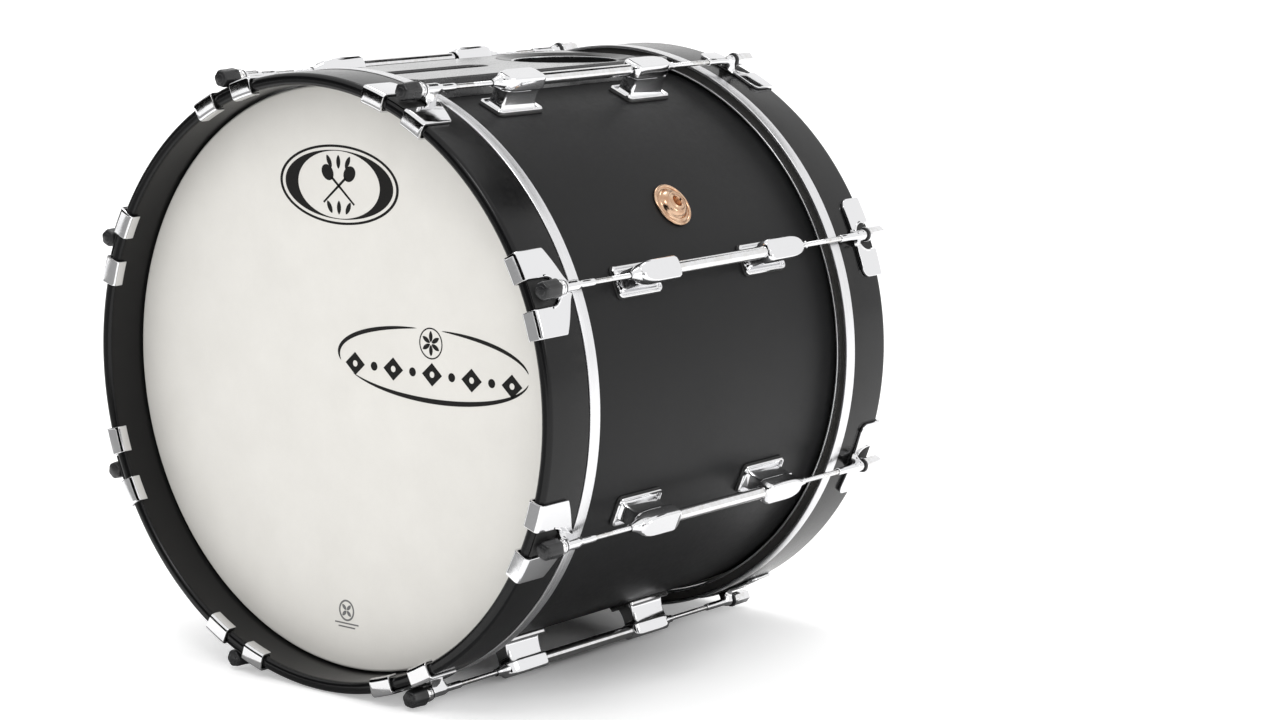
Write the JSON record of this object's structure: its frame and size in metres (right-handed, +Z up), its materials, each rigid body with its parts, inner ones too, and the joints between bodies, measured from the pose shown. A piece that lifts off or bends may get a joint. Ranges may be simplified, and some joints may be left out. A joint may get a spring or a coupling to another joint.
{
  "type": "bass drum",
  "caption": "Bass drum with two coated heads, black wooden hoops and shell, chrome claws, tension rods and tube lugs, an air vent and a top deck with a slot and a round dish.",
  "frame": {"origin": "on the floor under the middle of the drum, which stands on the caps of its four lowest lugs", "axes": "+Z up, the drum's axis along Y with the front head facing -Y, +X to the right of someone facing the front head from -Y"},
  "size_m": [0.5876, 0.5228, 0.5876],
  "materials": {
    "shell_satin": "satin black lacquer over wood plies",
    "hoop_gloss": "gloss black lacquer over wood plies",
    "flesh_hoop_metal": "satin metal band",
    "head_film": "warm white coated film",
    "deck_satin": "satin black moulding",
    "dish_gloss": "gloss black moulding",
    "ring_metal": "satin metal",
    "vent_brass": "polished, slightly coppery brass",
    "screw_steel": "plated steel",
    "lug_chrome": "polished chrome",
    "claw_chrome": "polished chrome",
    "rod_chrome": "polished chrome"
  },
  "bodies": {
    "drum": {"shell": "shell_satin", "front_hoop": "hoop_gloss", "rear_hoop": "hoop_gloss", "front_flesh_hoop": "flesh_hoop_metal", "rear_flesh_hoop": "flesh_hoop_metal", "front_head": "head_film", "rear_head": "head_film", "top_deck": "deck_satin", "dish_cup": "dish_gloss", "dish_ring": "ring_metal", "vent_grommet": "vent_brass", "vent_nut": "vent_brass", "deck_screw_1": "screw_steel", "deck_screw_2": "screw_steel", "deck_screw_3": "screw_steel", "deck_screw_4": "screw_steel", "lug_1": "lug_chrome", "lug_2": "lug_chrome", "lug_3": "lug_chrome", "lug_4": "lug_chrome", "lug_5": "lug_chrome", "lug_6": "lug_chrome", "lug_7": "lug_chrome", "lug_8": "lug_chrome"},
    "front_claw_1": {"front_claw_1": "claw_chrome"},
    "front_rod_1": {"front_rod_1": "rod_chrome"},
    "front_claw_2": {"front_claw_2": "claw_chrome"},
    "front_rod_2": {"front_rod_2": "rod_chrome"},
    "front_claw_3": {"front_claw_3": "claw_chrome"},
    "front_rod_3": {"front_rod_3": "rod_chrome"},
    "front_claw_4": {"front_claw_4": "claw_chrome"},
    "front_rod_4": {"front_rod_4": "rod_chrome"},
    "front_claw_5": {"front_claw_5": "claw_chrome"},
    "front_rod_5": {"front_rod_5": "rod_chrome"},
    "front_claw_6": {"front_claw_6": "claw_chrome"},
    "front_rod_6": {"front_rod_6": "rod_chrome"},
    "front_claw_7": {"front_claw_7": "claw_chrome"},
    "front_rod_7": {"front_rod_7": "rod_chrome"},
    "front_claw_8": {"front_claw_8": "claw_chrome"},
    "front_rod_8": {"front_rod_8": "rod_chrome"},
    "rear_claw_1": {"rear_claw_1": "claw_chrome"},
    "rear_rod_1": {"rear_rod_1": "rod_chrome"},
    "rear_claw_2": {"rear_claw_2": "claw_chrome"},
    "rear_rod_2": {"rear_rod_2": "rod_chrome"},
    "rear_claw_3": {"rear_claw_3": "claw_chrome"},
    "rear_rod_3": {"rear_rod_3": "rod_chrome"},
    "rear_claw_4": {"rear_claw_4": "claw_chrome"},
    "rear_rod_4": {"rear_rod_4": "rod_chrome"},
    "rear_claw_5": {"rear_claw_5": "claw_chrome"},
    "rear_rod_5": {"rear_rod_5": "rod_chrome"},
    "rear_claw_6": {"rear_claw_6": "claw_chrome"},
    "rear_rod_6": {"rear_rod_6": "rod_chrome"},
    "rear_claw_7": {"rear_claw_7": "claw_chrome"},
    "rear_rod_7": {"rear_rod_7": "rod_chrome"},
    "rear_claw_8": {"rear_claw_8": "claw_chrome"},
    "rear_rod_8": {"rear_rod_8": "rod_chrome"}
  },
  "joints": [
    {"name": "front_claw_1_slide", "type": "slide", "parent": "drum", "child": "front_claw_1", "axis": [0, -1, 0], "range_m": [0, 0.0127]},
    {"name": "front_rod_1_turn", "type": "hinge", "parent": "front_claw_1", "child": "front_rod_1", "pos_m": [0.28178, -0.2276, 0.41052], "axis": [0, -1, 0], "range_deg": [0, 4320]},
    {"name": "front_claw_2_slide", "type": "slide", "parent": "drum", "child": "front_claw_2", "axis": [0, -1, 0], "range_m": [0, 0.0127]},
    {"name": "front_rod_2_turn", "type": "hinge", "parent": "front_claw_2", "child": "front_rod_2", "pos_m": [0.11672, -0.2276, 0.57558], "axis": [0, -1, 0], "range_deg": [0, 4320]},
    {"name": "front_claw_3_slide", "type": "slide", "parent": "drum", "child": "front_claw_3", "axis": [0, -1, 0], "range_m": [0, 0.0127]},
    {"name": "front_rod_3_turn", "type": "hinge", "parent": "front_claw_3", "child": "front_rod_3", "pos_m": [-0.11672, -0.2276, 0.57558], "axis": [0, -1, 0], "range_deg": [0, 4320]},
    {"name": "front_claw_4_slide", "type": "slide", "parent": "drum", "child": "front_claw_4", "axis": [0, -1, 0], "range_m": [0, 0.0127]},
    {"name": "front_rod_4_turn", "type": "hinge", "parent": "front_claw_4", "child": "front_rod_4", "pos_m": [-0.28178, -0.2276, 0.41052], "axis": [0, -1, 0], "range_deg": [0, 4320]},
    {"name": "front_claw_5_slide", "type": "slide", "parent": "drum", "child": "front_claw_5", "axis": [0, -1, 0], "range_m": [0, 0.0127]},
    {"name": "front_rod_5_turn", "type": "hinge", "parent": "front_claw_5", "child": "front_rod_5", "pos_m": [-0.28178, -0.2276, 0.17708], "axis": [0, -1, 0], "range_deg": [0, 4320]},
    {"name": "front_claw_6_slide", "type": "slide", "parent": "drum", "child": "front_claw_6", "axis": [0, -1, 0], "range_m": [0, 0.0127]},
    {"name": "front_rod_6_turn", "type": "hinge", "parent": "front_claw_6", "child": "front_rod_6", "pos_m": [-0.11672, -0.2276, 0.01202], "axis": [0, -1, 0], "range_deg": [0, 4320]},
    {"name": "front_claw_7_slide", "type": "slide", "parent": "drum", "child": "front_claw_7", "axis": [0, -1, 0], "range_m": [0, 0.0127]},
    {"name": "front_rod_7_turn", "type": "hinge", "parent": "front_claw_7", "child": "front_rod_7", "pos_m": [0.11672, -0.2276, 0.01202], "axis": [0, -1, 0], "range_deg": [0, 4320]},
    {"name": "front_claw_8_slide", "type": "slide", "parent": "drum", "child": "front_claw_8", "axis": [0, -1, 0], "range_m": [0, 0.0127]},
    {"name": "front_rod_8_turn", "type": "hinge", "parent": "front_claw_8", "child": "front_rod_8", "pos_m": [0.28178, -0.2276, 0.17708], "axis": [0, -1, 0], "range_deg": [0, 4320]},
    {"name": "rear_claw_1_slide", "type": "slide", "parent": "drum", "child": "rear_claw_1", "axis": [0, 1, 0], "range_m": [0, 0.0127]},
    {"name": "rear_rod_1_turn", "type": "hinge", "parent": "rear_claw_1", "child": "rear_rod_1", "pos_m": [0.28178, 0.2276, 0.41052], "axis": [0, 1, 0], "range_deg": [0, 4320]},
    {"name": "rear_claw_2_slide", "type": "slide", "parent": "drum", "child": "rear_claw_2", "axis": [0, 1, 0], "range_m": [0, 0.0127]},
    {"name": "rear_rod_2_turn", "type": "hinge", "parent": "rear_claw_2", "child": "rear_rod_2", "pos_m": [0.11672, 0.2276, 0.57558], "axis": [0, 1, 0], "range_deg": [0, 4320]},
    {"name": "rear_claw_3_slide", "type": "slide", "parent": "drum", "child": "rear_claw_3", "axis": [0, 1, 0], "range_m": [0, 0.0127]},
    {"name": "rear_rod_3_turn", "type": "hinge", "parent": "rear_claw_3", "child": "rear_rod_3", "pos_m": [-0.11672, 0.2276, 0.57558], "axis": [0, 1, 0], "range_deg": [0, 4320]},
    {"name": "rear_claw_4_slide", "type": "slide", "parent": "drum", "child": "rear_claw_4", "axis": [0, 1, 0], "range_m": [0, 0.0127]},
    {"name": "rear_rod_4_turn", "type": "hinge", "parent": "rear_claw_4", "child": "rear_rod_4", "pos_m": [-0.28178, 0.2276, 0.41052], "axis": [0, 1, 0], "range_deg": [0, 4320]},
    {"name": "rear_claw_5_slide", "type": "slide", "parent": "drum", "child": "rear_claw_5", "axis": [0, 1, 0], "range_m": [0, 0.0127]},
    {"name": "rear_rod_5_turn", "type": "hinge", "parent": "rear_claw_5", "child": "rear_rod_5", "pos_m": [-0.28178, 0.2276, 0.17708], "axis": [0, 1, 0], "range_deg": [0, 4320]},
    {"name": "rear_claw_6_slide", "type": "slide", "parent": "drum", "child": "rear_claw_6", "axis": [0, 1, 0], "range_m": [0, 0.0127]},
    {"name": "rear_rod_6_turn", "type": "hinge", "parent": "rear_claw_6", "child": "rear_rod_6", "pos_m": [-0.11672, 0.2276, 0.01202], "axis": [0, 1, 0], "range_deg": [0, 4320]},
    {"name": "rear_claw_7_slide", "type": "slide", "parent": "drum", "child": "rear_claw_7", "axis": [0, 1, 0], "range_m": [0, 0.0127]},
    {"name": "rear_rod_7_turn", "type": "hinge", "parent": "rear_claw_7", "child": "rear_rod_7", "pos_m": [0.11672, 0.2276, 0.01202], "axis": [0, 1, 0], "range_deg": [0, 4320]},
    {"name": "rear_claw_8_slide", "type": "slide", "parent": "drum", "child": "rear_claw_8", "axis": [0, 1, 0], "range_m": [0, 0.0127]},
    {"name": "rear_rod_8_turn", "type": "hinge", "parent": "rear_claw_8", "child": "rear_rod_8", "pos_m": [0.28178, 0.2276, 0.17708], "axis": [0, 1, 0], "range_deg": [0, 4320]}
  ],
  "couplings": [
    {"joint": "front_rod_1_turn", "follows": "front_claw_1_slide", "rad_per_m": 5936.9},
    {"joint": "front_rod_2_turn", "follows": "front_claw_2_slide", "rad_per_m": 5936.9},
    {"joint": "front_rod_3_turn", "follows": "front_claw_3_slide", "rad_per_m": 5936.9},
    {"joint": "front_rod_4_turn", "follows": "front_claw_4_slide", "rad_per_m": 5936.9},
    {"joint": "front_rod_5_turn", "follows": "front_claw_5_slide", "rad_per_m": 5936.9},
    {"joint": "front_rod_6_turn", "follows": "front_claw_6_slide", "rad_per_m": 5936.9},
    {"joint": "front_rod_7_turn", "follows": "front_claw_7_slide", "rad_per_m": 5936.9},
    {"joint": "front_rod_8_turn", "follows": "front_claw_8_slide", "rad_per_m": 5936.9},
    {"joint": "rear_rod_1_turn", "follows": "rear_claw_1_slide", "rad_per_m": 5936.9},
    {"joint": "rear_rod_2_turn", "follows": "rear_claw_2_slide", "rad_per_m": 5936.9},
    {"joint": "rear_rod_3_turn", "follows": "rear_claw_3_slide", "rad_per_m": 5936.9},
    {"joint": "rear_rod_4_turn", "follows": "rear_claw_4_slide", "rad_per_m": 5936.9},
    {"joint": "rear_rod_5_turn", "follows": "rear_claw_5_slide", "rad_per_m": 5936.9},
    {"joint": "rear_rod_6_turn", "follows": "rear_claw_6_slide", "rad_per_m": 5936.9},
    {"joint": "rear_rod_7_turn", "follows": "rear_claw_7_slide", "rad_per_m": 5936.9},
    {"joint": "rear_rod_8_turn", "follows": "rear_claw_8_slide", "rad_per_m": 5936.9}
  ]
}
